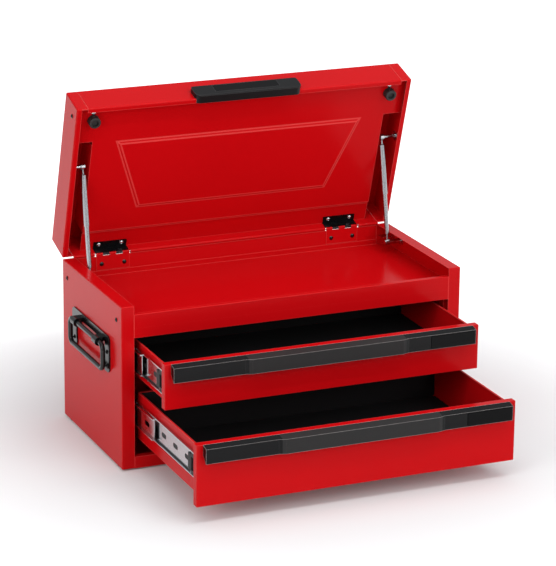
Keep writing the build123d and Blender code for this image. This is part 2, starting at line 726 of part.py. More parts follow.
def stays():
    rod = stay_frame() * stay_rod()
    both("stay_rod", rod)
    both("stay_tube", stay_frame() * stay_tube())
    inner = STAY_X - STAY_EYE_HALF - TOUCH
    stud = disc_x(STAY_STUD, inner - 1, SKIN - 1, STAY_Y, STAY_Z)
    stud += disc_x(STAY_PAD, SKIN - STAY_PAD_THICK, SKIN, STAY_Y, STAY_Z)
    collar = STAY_X + STAY_EYE_HALF + TOUCH
    stud += disc_x(STAY_STUD * 1.5, collar, SKIN - STAY_PAD_THICK, STAY_Y, STAY_Z)
    stud += disc_x(STAY_STUD * 1.4, inner - 2, inner, STAY_Y, STAY_Z)
    group("stay_case_studs", [stud, mirrored(stud)])


# ---------------------------------------------------------------- slides
def channel(outer_x, inner_x, y0, y1, up):
    """A slide member: a web at outer_x with ball races folded towards inner_x."""
    half = SLIDE_HEIGHT / 2
    step = math.copysign(SLIDE_SHEET, inner_x - outer_x)
    z = UNDER + up
    outline = [
        (outer_x, z - half),
        (inner_x, z - half),
        (inner_x, z - half + SLIDE_RACE),
        (outer_x + step, z - half + SLIDE_RACE),
        (outer_x + step, z + half - SLIDE_RACE),
        (inner_x, z + half - SLIDE_RACE),
        (inner_x, z + half),
        (outer_x, z + half),
    ]
    rail = along_y(outline, y0, y1)
    bends = rail.edges().filter_by(Axis.Y)
    outer = bends.group_by(Axis.Z)
    rail = fillet(list(outer[0]) + list(outer[-1]), SLIDE_RACE * 0.4)
    return rail


def slot_cuts(y0, y1, count, up):
    """Slots along the web of a slide member, pierced along X."""
    pitch = (y1 - y0) / count
    cuts = []
    for i in range(count):
        y = y0 + (i + 0.5) * pitch
        slot = Rot(0, 90, 0) * extrude(
            SlotOverall(SLIDE_SLOT_LENGTH, SLIDE_SLOT_HEIGHT, rotation=90), amount=2, both=True
        )
        cuts.append(Pos(0, y, UNDER + up) * slot)
    return cuts


def slide_members(up, out):
    """The three members and the end clip of one slide at the right of a drawer."""
    race = SLIDE_THICK * 0.44
    near = TUB_HALF
    far = SLIDE_WALL
    cabinet = channel(far, far - race, SLIDE_START, SLIDE_BACK, up)
    drawer = channel(near, near + race, SLIDE_START, SLIDE_BACK, up)
    for cut in slot_cuts(SLIDE_START + SLIDE_CLIP, SLIDE_BACK, 5, up):
        drawer -= Pos(near + SLIDE_SHEET / 2, 0, 0) * cut
    for cut in slot_cuts(SLIDE_START + SLIDE_CLIP, SLIDE_BACK, 4, up):
        cabinet -= Pos(far - SLIDE_SHEET / 2, 0, 0) * cut
    z = UNDER + up
    tall = SLIDE_HEIGHT / 2 - SLIDE_RACE - TOUCH
    wide = SLIDE_THICK / 2 - SLIDE_SHEET - 3 * TOUCH
    web = SLIDE_SHEET / 2
    flange = tall - 1.8
    x = (near + far) / 2
    outline = [
        (x - wide, z - tall), (x + wide, z - tall), (x + wide, z - flange), (x + web, z - flange),
        (x + web, z + flange), (x + wide, z + flange), (x + wide, z + tall), (x - wide, z + tall),
        (x - wide, z + flange), (x - web, z + flange), (x - web, z - flange), (x - wide, z - flange),
    ]
    start = SLIDE_START + SLIDE_CLIP + 1
    middle = along_y(outline, start, SLIDE_BACK)
    for cut in slot_cuts(start, SLIDE_BACK, 4, up):
        middle -= Pos(x, 0, 0) * cut
    clip = block(
        (near + SLIDE_SHEET, near + race),
        (SLIDE_START, SLIDE_START + SLIDE_CLIP - 1),
        (z - tall, z + tall),
    )
    clip = fillet(clip.edges().filter_by(Axis.X), 3.0)
    clip -= block(
        (near + SLIDE_SHEET * 2, near + race),
        (SLIDE_START + 3, SLIDE_START + SLIDE_CLIP - 1),
        (z - tall * 0.6, z + tall * 0.6),
    )
    slide = Pos(0, -out, 0)
    half_way = Pos(0, -out * SLIDE_MIDDLE_RATIO, 0)
    return cabinet, half_way * middle, slide * drawer, slide * clip


# ---------------------------------------------------------------- drawers
def drawer_tub(low, high):
    """The drawer body: a folded tub with a hemmed top edge."""
    x = (-TUB_HALF, TUB_HALF)
    y = (FRONT_DEPTH, TUB_REAR)
    tub = block(x, y, (UNDER + low, UNDER + high))
    tub -= block(
        (x[0] + SHEET, x[1] - SHEET),
        (y[0] + SHEET, y[1] - SHEET),
        (UNDER + low + SHEET, UNDER + high - 1.5),
    )
    return tub - block(
        (x[0] + TUB_HEM, x[1] - TUB_HEM),
        (y[0] + TUB_HEM, y[1] - TUB_HEM),
        (UNDER + low + SHEET, UNDER + high + 1),
    )


def drawer_front(low, high):
    """The drawer front: a pan with rounded bends, closed at the back by the tub."""
    return rounded_pan(
        (-FRONT_HALF, FRONT_HALF), (0, FRONT_DEPTH), (UNDER + low, UNDER + high),
        FRONT_BEND, Axis.Y,
    )


def pull_section(x, top, reach, filled=False):
    """One cross-section of a pull at x: leg on the front, sloping top, front leg."""
    wall = PULL_WALL
    low = top - PULL_FALL - PULL_HIGH
    points = [(0, top - PULL_LEG), (0, top), (-reach, top - PULL_FALL), (-reach, low)]
    if filled:
        points += [(-reach + wall, low), (-wall, top - PULL_LEG)]
    else:
        points += [
            (-reach + wall, low),
            (-reach + wall, top - PULL_FALL - wall),
            (-wall, top - wall),
            (-wall, top - PULL_LEG),
        ]
    return Pos(x, 0, 0) * (Plane.YZ * make_face(Polyline(*points, close=True)))


def drawer_pull(top):
    """The full-width pull, a hooked strip that stands further out in the middle."""
    end = FRONT_HALF - PULL_INSET
    wide = end / 2
    far = PULL_REACH + PULL_BULGE
    stations = [
        (-end, PULL_REACH), (-wide - PULL_SLANT, PULL_REACH), (-wide, far),
        (wide, far), (wide + PULL_SLANT, PULL_REACH), (end, PULL_REACH),
    ]
    pull = loft([pull_section(x, top, reach) for x, reach in stations], ruled=True)
    for x in (-end, end - PULL_CHEEK):
        pull += extrude(
            pull_section(x, top, PULL_REACH, filled=True), amount=PULL_CHEEK, dir=(1, 0, 0)
        )
    return pull


def label_plate(top):
    """The bare plate at the right end of a pull."""
    right = FRONT_HALF - PULL_INSET - PLATE_INSET
    high = top - PULL_FALL - (PULL_HIGH - PLATE_HIGH) / 2
    plate = block(
        (right - PLATE_LENGTH, right),
        (-PULL_REACH - PLATE_THICK, -PULL_REACH),
        (high - PLATE_HIGH, high),
    )
    return fillet(plate.edges().filter_by(Axis.Y), 1.5)


def drawer(name, front, tub, slide_up, out):
    place = Pos(0, -out, 0)
    top = UNDER + front[1]
    parts[name + "_drawer_tub"] = place * drawer_tub(*tub)
    parts[name + "_drawer_front"] = place * drawer_front(*front)
    parts[name + "_drawer_pull"] = place * drawer_pull(top)
    parts[name + "_drawer_plate"] = place * label_plate(top)
    inset = SHEET + MAT_CLEAR
    low = UNDER + tub[0] + SHEET
    parts[name + "_drawer_mat"] = place * block(
        (-TUB_HALF + inset, TUB_HALF - inset),
        (FRONT_DEPTH + inset, TUB_REAR - inset),
        (low, low + MAT_THICK),
    )
    cabinet, middle, member, clip = slide_members(slide_up, out)
    for side, flip in (("right", False), ("left", True)):
        for kind, piece in (("case_rail", cabinet), ("middle_rail", middle),
                            ("drawer_rail", member)):
            parts[f"{name}_{side}_{kind}"] = mirrored(piece) if flip else piece
    group(name + "_rail_clips", [clip, mirrored(clip)])


# ---------------------------------------------------------------- side handles
def handle_bracket():
    """The plate on the case: two legs, a band over them and two rolled barrels."""
    low = UNDER + HANDLE_PLATE_LOW
    high = UNDER + HANDLE_PLATE_HIGH
    half = HANDLE_PLATE_LENGTH / 2
    corner = HANDLE_LEG * 0.45
    plate = Pos(0, (low + high) / 2) * RectangleRounded(2 * half, high - low, corner)
    gap = 2 * (half - HANDLE_LEG)
    plate -= Pos(0, (low + high) / 2 - HANDLE_BAND) * Rectangle(gap, high - low)
    face = Plane(origin=(HALF, HANDLE_Y, 0), x_dir=(0, 1, 0), z_dir=(1, 0, 0))
    bracket = extrude(face * plate, amount=HANDLE_PLATE_THICK)
    x = handle_pivot_x()
    z = UNDER + HANDLE_PIVOT_UP
    for side in (-1, 1):
        y0 = HANDLE_Y + side * HANDLE_BARREL_Y - HANDLE_BARREL_LENGTH / 2
        y1 = y0 + HANDLE_BARREL_LENGTH
        bracket += disc_y(HANDLE_BARREL, y0, y1, x, z)
        bracket += block((HALF + HANDLE_PLATE_THICK / 2, x), (y0, y1), (z, z + HANDLE_BARREL))
    for side in (-1, 1):
        y = HANDLE_Y + side * HANDLE_BARREL_Y
        bracket -= disc_y(
            HANDLE_BAIL + HANDLE_FIT, y - HANDLE_BARREL_LENGTH, y + HANDLE_BARREL_LENGTH, x, z
        )
    return bracket


def handle_pivot_x():
    """How far out the bail turns, so that its barrels clear the plate."""
    return HALF + HANDLE_PLATE_THICK + HANDLE_BARREL


def handle_bail():
    """A closed ring of round bar, hanging from its upper run."""
    ring = RectangleRounded(HANDLE_BAIL_LENGTH, HANDLE_BAIL_DROP, HANDLE_BEND)
    x = handle_pivot_x()
    z = UNDER + HANDLE_PIVOT_UP - HANDLE_BAIL_DROP / 2
    plane = Plane(origin=(x, HANDLE_Y, z), x_dir=(0, 1, 0), z_dir=(1, 0, 0))
    path = plane * ring.wire()
    start = path @ 0
    section = Plane(origin=start, z_dir=path % 0) * Circle(HANDLE_BAIL)
    return sweep(section, path=path)


def handles():
    both("handle_bracket", handle_bracket())
    both("handle_bail", handle_bail())
    screws = []
    y_out = HANDLE_PLATE_LENGTH / 2 - HANDLE_LEG / 2
    for side in (-1, 1):
        for up in HANDLE_SCREW_UP:
            screw = (
                Pos(HALF + HANDLE_PLATE_THICK, HANDLE_Y + side * y_out, UNDER + up)
                * Rot(0, 90, 0) * screw_head()
            )
            screws += [screw, mirrored(screw)]
    group("handle_screws", screws)


# ---------------------------------------------------------------- assembly
case()
lid()
hinges()
stays()
drawer("upper", UPPER_FRONT, UPPER_TUB, UPPER_SLIDE_UP, UPPER_OUT)
drawer("lower", LOWER_FRONT, LOWER_TUB, LOWER_SLIDE_UP, LOWER_OUT)
handles()

os.makedirs("parts", exist_ok=True)
for name, shape in parts.items():
    export_step(Pos(0, SHIFT_Y, 0) * shape, f"parts/{name}.step")
print(len(parts), "nodes")
print("stay", round(STAY_LONG, 2), round(STAY_SHORT, 2), round(STAY_ANGLE, 3))
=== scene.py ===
import math

import bmesh
import bpy
from mathutils import Matrix, Vector


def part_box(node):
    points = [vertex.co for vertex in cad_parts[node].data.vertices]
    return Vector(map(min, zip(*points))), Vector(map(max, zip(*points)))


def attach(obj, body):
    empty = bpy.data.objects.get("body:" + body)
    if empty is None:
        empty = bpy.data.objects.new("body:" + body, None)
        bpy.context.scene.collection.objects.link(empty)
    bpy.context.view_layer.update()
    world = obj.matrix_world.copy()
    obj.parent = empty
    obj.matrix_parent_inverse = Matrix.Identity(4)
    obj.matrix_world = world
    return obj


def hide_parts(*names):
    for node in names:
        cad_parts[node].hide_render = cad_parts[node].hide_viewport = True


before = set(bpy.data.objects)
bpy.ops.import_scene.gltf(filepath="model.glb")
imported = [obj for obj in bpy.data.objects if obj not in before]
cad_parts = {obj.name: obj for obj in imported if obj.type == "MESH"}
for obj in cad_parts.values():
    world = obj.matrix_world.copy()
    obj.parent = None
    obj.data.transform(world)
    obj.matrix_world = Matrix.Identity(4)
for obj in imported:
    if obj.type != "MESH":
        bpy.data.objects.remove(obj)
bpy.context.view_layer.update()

bl_info = {
    "name": "Portable tool box with drawers",
    "version": (1, 0, 0),
    "blender": (4, 5, 0),
    "location": "View3D > Sidebar > Tool box",
    "description": "Dresses the tool box: powder coat, zinc slides, foam mats, studio",
    "category": "Object",
}

MM = 0.001
WHITE = (1.0, 1.0, 1.0, 1.0)

# The photograph's camera, fitted to the corners of the case and the lid.
IMAGE_HEIGHT = 566             # pixels
FOCAL_PIXELS = 2797.3242
AXIS_Y_PIXEL = 280.4305        # row of the picture that the optical axis meets
CAMERA_YAW = -0.4092           # radians, as pitch and roll
CAMERA_PITCH = 0.3053
CAMERA_ROLL = 0.0109
CAMERA_FROM_CASE = Vector((-1.9492, -4.4158, 1.8432))   # from the case's front, on the floor
SENSOR_MM = 36.0
FAR_CLIP = 60.0

# Studio. Each softbox has a name, a place, its size and its watts.
SOFTBOX_AIM = Vector((0.0, -0.1, 0.3))
SOFTBOXES = (
    ("top_softbox", (0.3, -0.4, 2.6), (2.4, 2.4), 19.0),
    ("left_softbox", (-2.6, -1.6, 1.7), (1.8, 1.8), 26.0),
    ("front_softbox", (1.2, -3.2, 1.8), (1.8, 1.8), 29.0),
    ("strip_softbox", (0.0, -1.3, 2.6), (3.2, 0.14), 17.0),
)
AIR_COLOUR = (0.9, 0.92, 0.95, 1.0)
AIR_STRENGTH = 0.62
PAPER_COLOUR = (0.82, 0.82, 0.82, 1.0)
FLOOR_HALF = 15.0
FADE_START = 0.42              # the floor turns white from here to the end of the fade
FADE_END = 1.3

# Shading.
NOISE_RANGE = (0.3, 0.7)       # where most values of a noise lie
FOLD_RANGE = (0.995, 0.82)     # cosines of the bends where a painted fold highlight starts and is full
FOLD_SAMPLES = 6
FOLD_HIGHLIGHT_WIDTH = 1.9 * MM           # how wide the painted highlight on folds is
FOAM_CELL = 1.6 * MM

# Meshes.
SMOOTH_BELOW = math.radians(40)
WELD = 1e-6
COPLANAR = math.radians(0.5)
PRESSED_OVER = math.radians(15)    # bends of the pressed lines in the lid's panel
PRESSED_UNDER = math.radians(60)

# Folded and rolled steel.
SHEET = 1 * MM
HINGE_RUN = 68 * MM            # a hinge pin from head to head
PIN_CLEAR = 1.5 * MM           # rolled edge to the heads of the pins
ROLL_FACETS = 32
ROLL_RIM = math.radians(60)    # bends sharper than this are the rims of its ends
ROLL_RIM_RADIUS = 0.5 * MM

# Pulls and drawer rails. Depths in a rail are from its wall inwards.
PULL_STEP = 0.1527             # middle of the slants of a pull, from its middle
CLIP_ZONE = 17 * MM            # front clip of a drawer rail
SLOT_COUNT = 5                 # slots behind the clip
SLOT_DEPTH = 0.35 * MM         # middle of the dark plate of painted shade in a slot
SLOT_HALF = Vector((0.2 * MM, 10.8 * MM, 4.3 * MM))
SLOT_CORNER = 4.2 * MM
STOP_NEAR = 1.25 * MM          # damped stop behind the clip
STOP_FAR = 5.4 * MM
STOP_LENGTH = 15 * MM
STOP_HALF = 16 * MM
STOP_CORNER = 1.2 * MM
GROOVE_FAR = 1.7 * MM          # dark plates of painted shade in the grooves of the races
GROOVE_FROM_MIDDLE = (18.2 * MM, 20.2 * MM)
GROOVE_END = 1 * MM            # short of the rail's rear end

# Foam mats, and the dark foam strips on the back walls of the drawers, which are painted shade.
MAT_CORNER = 6 * MM
MAT_CELLS = (24, 12)           # cuts of the mat along x and y, for its waves
MAT_TOP = 1e-5                 # points nearer to the top than this belong to it
WAVE_LONG = (9.4, 2.0)         # radians along the mat's x and y
WAVE_WIDE = (1.3, 7.1)
STRIP_THICK = 2 * MM
STRIP_LIFT = 0.3 * MM          # over the mat
HEM_CLEAR = 2 * MM             # under the hem of the tub


# ------------------------------------------------------------------ small helpers
def linear(code):
    """A colour written as sRGB hex, turned to linear."""
    values = [int(code[i:i + 2], 16) / 255 for i in (1, 3, 5)]
    return tuple(v / 12.92 if v <= 0.04045 else ((v + 0.055) / 1.055) ** 2.4 for v in values)


def fill(tree, node, inputs):
    """Fills inputs of a node, or links those whose value is a socket."""
    for name, value in inputs.items():
        if isinstance(value, bpy.types.NodeSocket):
            tree.links.new(value, node.inputs[name])
        else:
            node.inputs[name].default_value = value


def add_node(tree, kind, inputs=None, **settings):
    """Adds a node, sets its attributes and fills or links its inputs."""
    node = tree.nodes.new(kind)
    for name, value in settings.items():
        setattr(node, name, value)
    fill(tree, node, inputs or {})
    return node


def new_material(name):
    """An empty node material: its tree, its Principled shader and Object coordinates."""
    material = bpy.data.materials.new(name)
    material.use_nodes = True
    tree = material.node_tree
    tree.nodes.clear()
    shader = add_node(tree, "ShaderNodeBsdfPrincipled")
    add_node(tree, "ShaderNodeOutputMaterial", {"Surface": shader.outputs[0]})
    coords = add_node(tree, "ShaderNodeTexCoord").outputs["Object"]
    return material, tree, shader, coords


def set_inputs(tree, node, **inputs):
    """Fills or links inputs of a node, an underscore standing for a blank."""
    fill(tree, node, {name.replace("_", " "): value for name, value in inputs.items()})


def noise(tree, coords, size, detail=2.0, stretch=(1.0, 1.0, 1.0)):
    """Noise whose features are about size metres across."""
    placed = add_node(tree, "ShaderNodeMapping", {"Vector": coords, "Scale": stretch})
    texture = add_node(
        tree,
        "ShaderNodeTexNoise",
        {"Vector": placed.outputs[0], "Scale": 1.0 / size, "Detail": detail},
    )
    return texture.outputs["Fac"]


def ramp(tree, value, start, end, low=0.0, high=1.0, **settings):
    """Maps a value's range from start to end to the range from low to high."""
    node = add_node(
        tree,
        "ShaderNodeMapRange",
        {"Value": value, "From Min": start, "From Max": end, "To Min": low, "To Max": high},
        **settings,
    )
    return node.outputs[0]


def spread(tree, value, low, high):
    """Maps the middle of a noise to the range from low to high."""
    return ramp(tree, value, *NOISE_RANGE, low, high)


def mixed(tree, value, first, second):
    """A colour that turns from the first to the second where value rises. Each is an
    sRGB hex code or a socket."""
    first, second = [
        (*linear(colour), 1.0) if isinstance(colour, str) else colour
        for colour in (first, second)
    ]
    node = add_node(
        tree, "ShaderNodeMix", {0: value, 6: first, 7: second}, data_type="RGBA"
    )
    return node.outputs[2]


def bump(tree, height, strength, distance):
    """A bump of that depth in metres."""
    node = add_node(
        tree, "ShaderNodeBump", {"Height": height, "Strength": strength, "Distance": distance}
    )
    return node.outputs[0]


def folds(tree, radius, most):
    """Mask of a painted highlight: from 0 on flats to most on sharp folds and cut edges, about
    radius wide.
    """
    turned = add_node(
        tree, "ShaderNodeBevel", {"Radius": radius}, samples=FOLD_SAMPLES
    ).outputs[0]
    facing = add_node(tree, "ShaderNodeNewGeometry").outputs["True Normal"]
    bend = add_node(
        tree, "ShaderNodeVectorMath", {0: turned, 1: facing}, operation="DOT_PRODUCT"
    ).outputs["Value"]
    return ramp(tree, bend, *FOLD_RANGE, 0.0, most)


# ------------------------------------------------------------------ materials
ABS_GLOSS = {"IOR": 1.53, "Specular_IOR_Level": 0.14}   # of both ABS mouldings


def powder_coat(options, drawn=False):
    """Gloss powder coat on steel: baked thick, so light rides on a faint orange peel.
    Folds and cut edges get a painted highlight: a lighter red in the base colour."""
    material, tree, shader, coords = new_material("gloss_powder_coat")
    drift = noise(tree, coords, 160 * MM)
    flat = mixed(tree, drift, options.paint, options.paint_shade)
    # With drawn, the whole coat is for the pressed lines, with an even painted highlight.
    if drawn:
        material.name = "powder_coat_pressed_highlight"
        coat = mixed(tree, options.pressed_highlight, flat, options.paint_highlight)
    else:
        # Elsewhere, folds and cut edges get a painted highlight.
        fold_highlight = folds(tree, FOLD_HIGHLIGHT_WIDTH, options.edge_highlight)
        coat = mixed(tree, fold_highlight, flat, options.paint_highlight)
    peel = noise(tree, coords, 2.2 * MM, detail=0.0)
    set_inputs(
        tree,
        shader,
        Base_Color=coat,
        Roughness=spread(tree, peel, 0.17, 0.21),
        IOR=1.5,
        Specular_IOR_Level=0.07,
        Normal=bump(tree, peel, 0.3, 0.01 * MM),
    )
    return material


def zinc_plate(options):
    """Bright zinc plate on rolled steel: clear metal with drawn lines along the rails."""
    material, tree, shader, coords = new_material("zinc_plated_steel")
    lines = noise(tree, coords, 1.4 * MM, stretch=(1.0, 0.02, 1.0))
    clouds = noise(tree, coords, 30 * MM)
    set_inputs(
        tree,
        shader,
        Base_Color=mixed(tree, lines, options.zinc, "#BFC1C4"),
        Metallic=1.0,
        Roughness=spread(tree, clouds, 0.14, 0.22),
        Normal=bump(tree, lines, 0.15, 0.02 * MM),
    )
    return material


def satin_tube():
    """Satin nickel on the drawn steel of the lid stays, with faint lines along it."""
    material, tree, shader, coords = new_material("satin_nickel_tube")
    lines = noise(tree, coords, 0.9 * MM, stretch=(1.0, 1.0, 0.05))
    set_inputs(
        tree,
        shader,
        Base_Color=mixed(tree, lines, "#B4B5B8", "#9C9DA1"),
        Metallic=1.0,
        Roughness=spread(tree, lines, 0.2, 0.26),
        Normal=bump(tree, lines, 0.1, 0.02 * MM),
    )
    return material


def black_passivate():
    """Black passivated zinc on the lid's hinge leaves: dark metal with a soft sheen."""
    material, tree, shader, coords = new_material("black_passivated_steel")
    clouds = noise(tree, coords, 10 * MM)
    set_inputs(
        tree,
        shader,
        Base_Color=mixed(tree, clouds, "#1C1C1E", "#2C2C2F"),
        Metallic=0.9,
        Roughness=spread(tree, clouds, 0.22, 0.32),
    )
    return material


def moulded_plastic(options):
    """Moulded ABS with the fine spark grain of its tool."""
    material, tree, shader, coords = new_material("moulded_abs")
    grain = noise(tree, coords, 0.8 * MM)
    drift = noise(tree, coords, 40 * MM)
    set_inputs(
        tree,
        shader,
        # The base colour holds a painted highlight on edges and folds.
        Base_Color=mixed(
            tree,
            folds(tree, 1.0 * MM, 0.6),
            mixed(tree, drift, options.plastic, "#171718"),
            "#6E6C6C",
        ),
        Roughness=spread(tree, grain, 0.28, 0.36),
        Normal=bump(tree, grain, 0.2, 0.03 * MM),
        **ABS_GLOSS,
    )
    return material


def pull_plastic(options):
    """Two moulded finishes on one pull: a grained grip in the middle, polished ends."""
    material, tree, shader, coords = new_material("pull_abs")
    grain = noise(tree, coords, 0.8 * MM)
    across = add_node(tree, "ShaderNodeSeparateXYZ", {"Vector": coords}).outputs["X"]
    out = add_node(tree, "ShaderNodeMath", {0: across}, operation="ABSOLUTE").outputs[0]
    middle = ramp(tree, out, PULL_STEP + 1 * MM, PULL_STEP - 1 * MM)
    set_inputs(
        tree,
        shader,
        # The base colour holds a painted highlight on edges and folds.
        Base_Color=mixed(
            tree,
            folds(tree, 1.5 * MM, 1.0),
            mixed(tree, middle, options.plastic, options.pull_grip),
            "#9A9492",
        ),
        Roughness=ramp(tree, middle, 0.0, 1.0, 0.2, 0.42),
        Normal=bump(tree, grain, 0.25, 0.03 * MM),
        **ABS_GLOSS,
    )
    return material


def gloss_plate():
    """Polished acrylic: black, with a wet-looking surface and a trace of haze."""
    material, tree, shader, coords = new_material("polished_black_acrylic")
    haze = noise(tree, coords, 12 * MM)
    set_inputs(
        tree,
        shader,
        Base_Color=mixed(tree, haze, "#030304", "#070708"),
        Roughness=spread(tree, haze, 0.06, 0.12),
        IOR=1.49,
        Specular_IOR_Level=0.1,
    )
    return material


def black_steel():
    """Black lacquer on pressed steel: dark, with crisp highlights on its bends."""
    material, tree, shader, coords = new_material("black_lacquered_steel")
    drift = noise(tree, coords, 30 * MM)
    peel = noise(tree, coords, 1.5 * MM)
    set_inputs(
        tree,
        shader,
        Base_Color=mixed(tree, drift, "#070708", "#0C0C0D"),
        Roughness=spread(tree, peel, 0.16, 0.22),
        IOR=1.5,
        Specular_IOR_Level=0.4,
        Normal=bump(tree, peel, 0.1, 0.02 * MM),
    )
    return material


def moulded_rubber():
    """Moulded black rubber of the feet, bumpers and stops: dull, slightly dusty."""
    material, tree, shader, coords = new_material("moulded_rubber")
    dust = noise(tree, coords, 4 * MM, detail=4.0)
    set_inputs(
        tree,
        shader,
        Base_Color=mixed(tree, dust, "#121212", "#222222"),
        Roughness=spread(tree, dust, 0.5, 0.7),
        IOR=1.5,
        Normal=bump(tree, dust, 0.3, 0.1 * MM),
    )
    return material


def cell_foam(options):
    """Closed-cell foam sheet: a skin of fine cells that hardly reflects. The cells are
    drawn coarser than the real half millimetre, so that they show."""
    material, tree, shader, coords = new_material("closed_cell_foam")
    cells = add_node(
        tree, "ShaderNodeTexVoronoi", {"Vector": coords, "Scale": 1.0 / FOAM_CELL}
    ).outputs["Distance"]
    drift = noise(tree, coords, 90 * MM, detail=3.0)
    set_inputs(
        tree,
        shader,
        Base_Color=mixed(tree, drift, options.mat, "#1E1E1F"),
        Roughness=spread(tree, drift, 0.78, 0.92),
        IOR=1.4,
        Specular_IOR_Level=0.3,
        Normal=bump(tree, cells, 0.35, 0.2 * MM),
    )
    return material


def studio_floor():
    """A seamless paper floor: it keeps the soft shadow, and it fades to white away
    from the object for what the camera and the gloss see of it."""
    material, tree, shader, coords = new_material("seamless_paper")
    away = add_node(tree, "ShaderNodeVectorMath", {0: coords}, operation="LENGTH")
    fade = ramp(
        tree, away.outputs["Value"], FADE_START, FADE_END, 0.04, 0.8,
        interpolation_type="SMOOTHSTEP",
    )
    ray = add_node(tree, "ShaderNodeLightPath")
    seen = add_node(
        tree,
        "ShaderNodeMath",
        {0: ray.outputs["Is Camera Ray"], 1: ray.outputs["Is Glossy Ray"]},
        operation="MAXIMUM",
    ).outputs[0]
    strength = add_node(tree, "ShaderNodeMath", {0: fade, 1: seen}, operation="MULTIPLY")
    set_inputs(
        tree,
        shader,
        Base_Color=PAPER_COLOUR,
        Roughness=0.9,
        Specular_IOR_Level=0.1,
        Emission_Color=WHITE,
        Emission_Strength=strength.outputs[0],
    )
    return material


def paint(names, material):
    """Gives CAD nodes a material."""
    for name in names:
        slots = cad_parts[name].data.materials
        slots.clear()
        slots.append(material)


def nodes_like(*words):
    """The CAD nodes whose name holds one of the words."""
    return [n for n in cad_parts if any(w in n for w in words)]


def box_into(bm, low, high):
    """Adds a box between two corners to a bmesh and returns its vertices."""
    place = Matrix.Translation((low + high) / 2) @ Matrix.Diagonal((*(high - low), 1.0))
    return bmesh.ops.create_cube(bm, size=1.0, matrix=place)["verts"]


def edges_of(verts):
    """The edges that meet the vertices."""
    return list({edge for vert in verts for edge in vert.link_edges})


def reach(edge, axis):
    """How far an edge reaches along an axis."""
    first, last = edge.verts
    return abs(first.co[axis] - last.co[axis])


def round_edges(bm, edges, radius, segments, **settings):
    """Rounds edges of a bmesh and returns the faces of the rounding."""
    return bmesh.ops.bevel(
        bm, geom=edges, offset=radius, segments=segments, profile=0.5,
        affect="EDGES", material=-1, **settings,
    )["faces"]


def mesh_object(name, bm, material, smooth=True):
    """Turns a bmesh in the row frame into an object at the origin."""
    bmesh.ops.recalc_face_normals(bm, faces=bm.faces[:])
    for edge in bm.edges:
        if len(edge.link_faces) == 2:
            edge.smooth = edge.calc_face_angle() < SMOOTH_BELOW
    mesh = bpy.data.meshes.new(name)
    bm.to_mesh(mesh)
    bm.free()
    mesh.materials.append(material)
    for polygon in mesh.polygons:
        polygon.use_smooth = smooth
    thing = bpy.data.objects.new(name, mesh)
    bpy.context.scene.collection.objects.link(thing)
    return thing


# ------------------------------------------------------------------ options
class ToolBoxOptions(bpy.types.PropertyGroup):
    paint: bpy.props.StringProperty(
        name="Paint", description="Powder coat, as sRGB hex", default="#C80B11"
    )
    paint_shade: bpy.props.StringProperty(
        name="Paint shade", description="Second red that the coat drifts to", default="#C0090F"
    )
    # The lighter red of the painted highlight on folds, cut edges and pressed lines.
    paint_highlight: bpy.props.StringProperty(
        name="Paint edge", description="The coat where it draws thin on folds, as sRGB hex",
        default="#F4605C",
    )
    # Strength of the painted highlight on folds and cut edges.
    edge_highlight: bpy.props.FloatProperty(
        name="Edge light", description="How much lighter the folds are",
        default=0.55, min=0.0, max=1.0, subtype="FACTOR",
    )
    # Strength of the painted highlight on the pressed lines.
    pressed_highlight: bpy.props.FloatProperty(
        name="Drawn light", description="How much lighter the pressed lines are",
        default=0.36, min=0.0, max=1.0, subtype="FACTOR",
    )
    zinc: bpy.props.StringProperty(
        name="Zinc", description="Bright zinc plate, as sRGB hex", default="#D6D8DA"
    )
    plastic: bpy.props.StringProperty(
        name="Plastic", description="Moulded pulls and grip, as sRGB hex", default="#0E0E0F"
    )
    pull_grip: bpy.props.StringProperty(
        name="Pull grip", description="Grained middle of the pulls, as sRGB hex",
        default="#292828",
    )
    mat: bpy.props.StringProperty(
        name="Mat", description="Foam mats, as sRGB hex", default="#171718"
    )
    press_radius: bpy.props.FloatProperty(
        name="Press radius", description="Rounding of the pressed lines in the lid's panel",
        default=0.0016, min=0.0005, max=0.0025, unit="LENGTH",
    )
    front_return: bpy.props.FloatProperty(
        name="Front return", description="Width of the folded-in rim behind a drawer front",
        default=0.012, min=0.004, max=0.02, unit="LENGTH",
    )
    crest_radius: bpy.props.FloatProperty(
        name="Crest radius", description="Back panel's rolled edge between and beside the hinges",
        default=0.0034, min=0.002, max=0.0036, unit="LENGTH",
    )
    mat_edge: bpy.props.FloatProperty(
        name="Mat edge", description="Radius on the cut edge of the mats",
        default=0.0008, min=0.0002, max=0.0014, unit="LENGTH",
    )
    mat_wave: bpy.props.FloatProperty(
        name="Mat wave", description="How far the mats dip between their high spots",
        default=0.0006, min=0.0, max=0.002, unit="LENGTH",
    )


# ------------------------------------------------------------------ operators
class TOOLBOX_OT_case(bpy.types.Operator):
    """Finishes the case, lid and drawers, their feet and screws, and the side handles"""

    bl_idname = "toolbox.case"
    bl_label = "Case"

    def execute(self, context):
        options = context.scene.tool_box
        red = powder_coat(options)
        paint(["left_side_panel", "right_side_panel", "back_panel", "base_panel"], red)
        paint(["top_tray", "slide_uprights", "hinge_body_leaves"], red)
        paint(nodes_like("lid_shell", "lid_cap", "lid_inner_panel"), red)
        paint(nodes_like("drawer_tub", "drawer_front"), red)
        paint(["feet", "lid_bumpers"], moulded_rubber())
        steel = black_steel()
        paint(["side_screws", "lid_cap_screws", "hinge_body_screws", "handle_screws"], steel)
        paint(nodes_like("handle_bracket", "handle_bail"), steel)
        return {"FINISHED"}


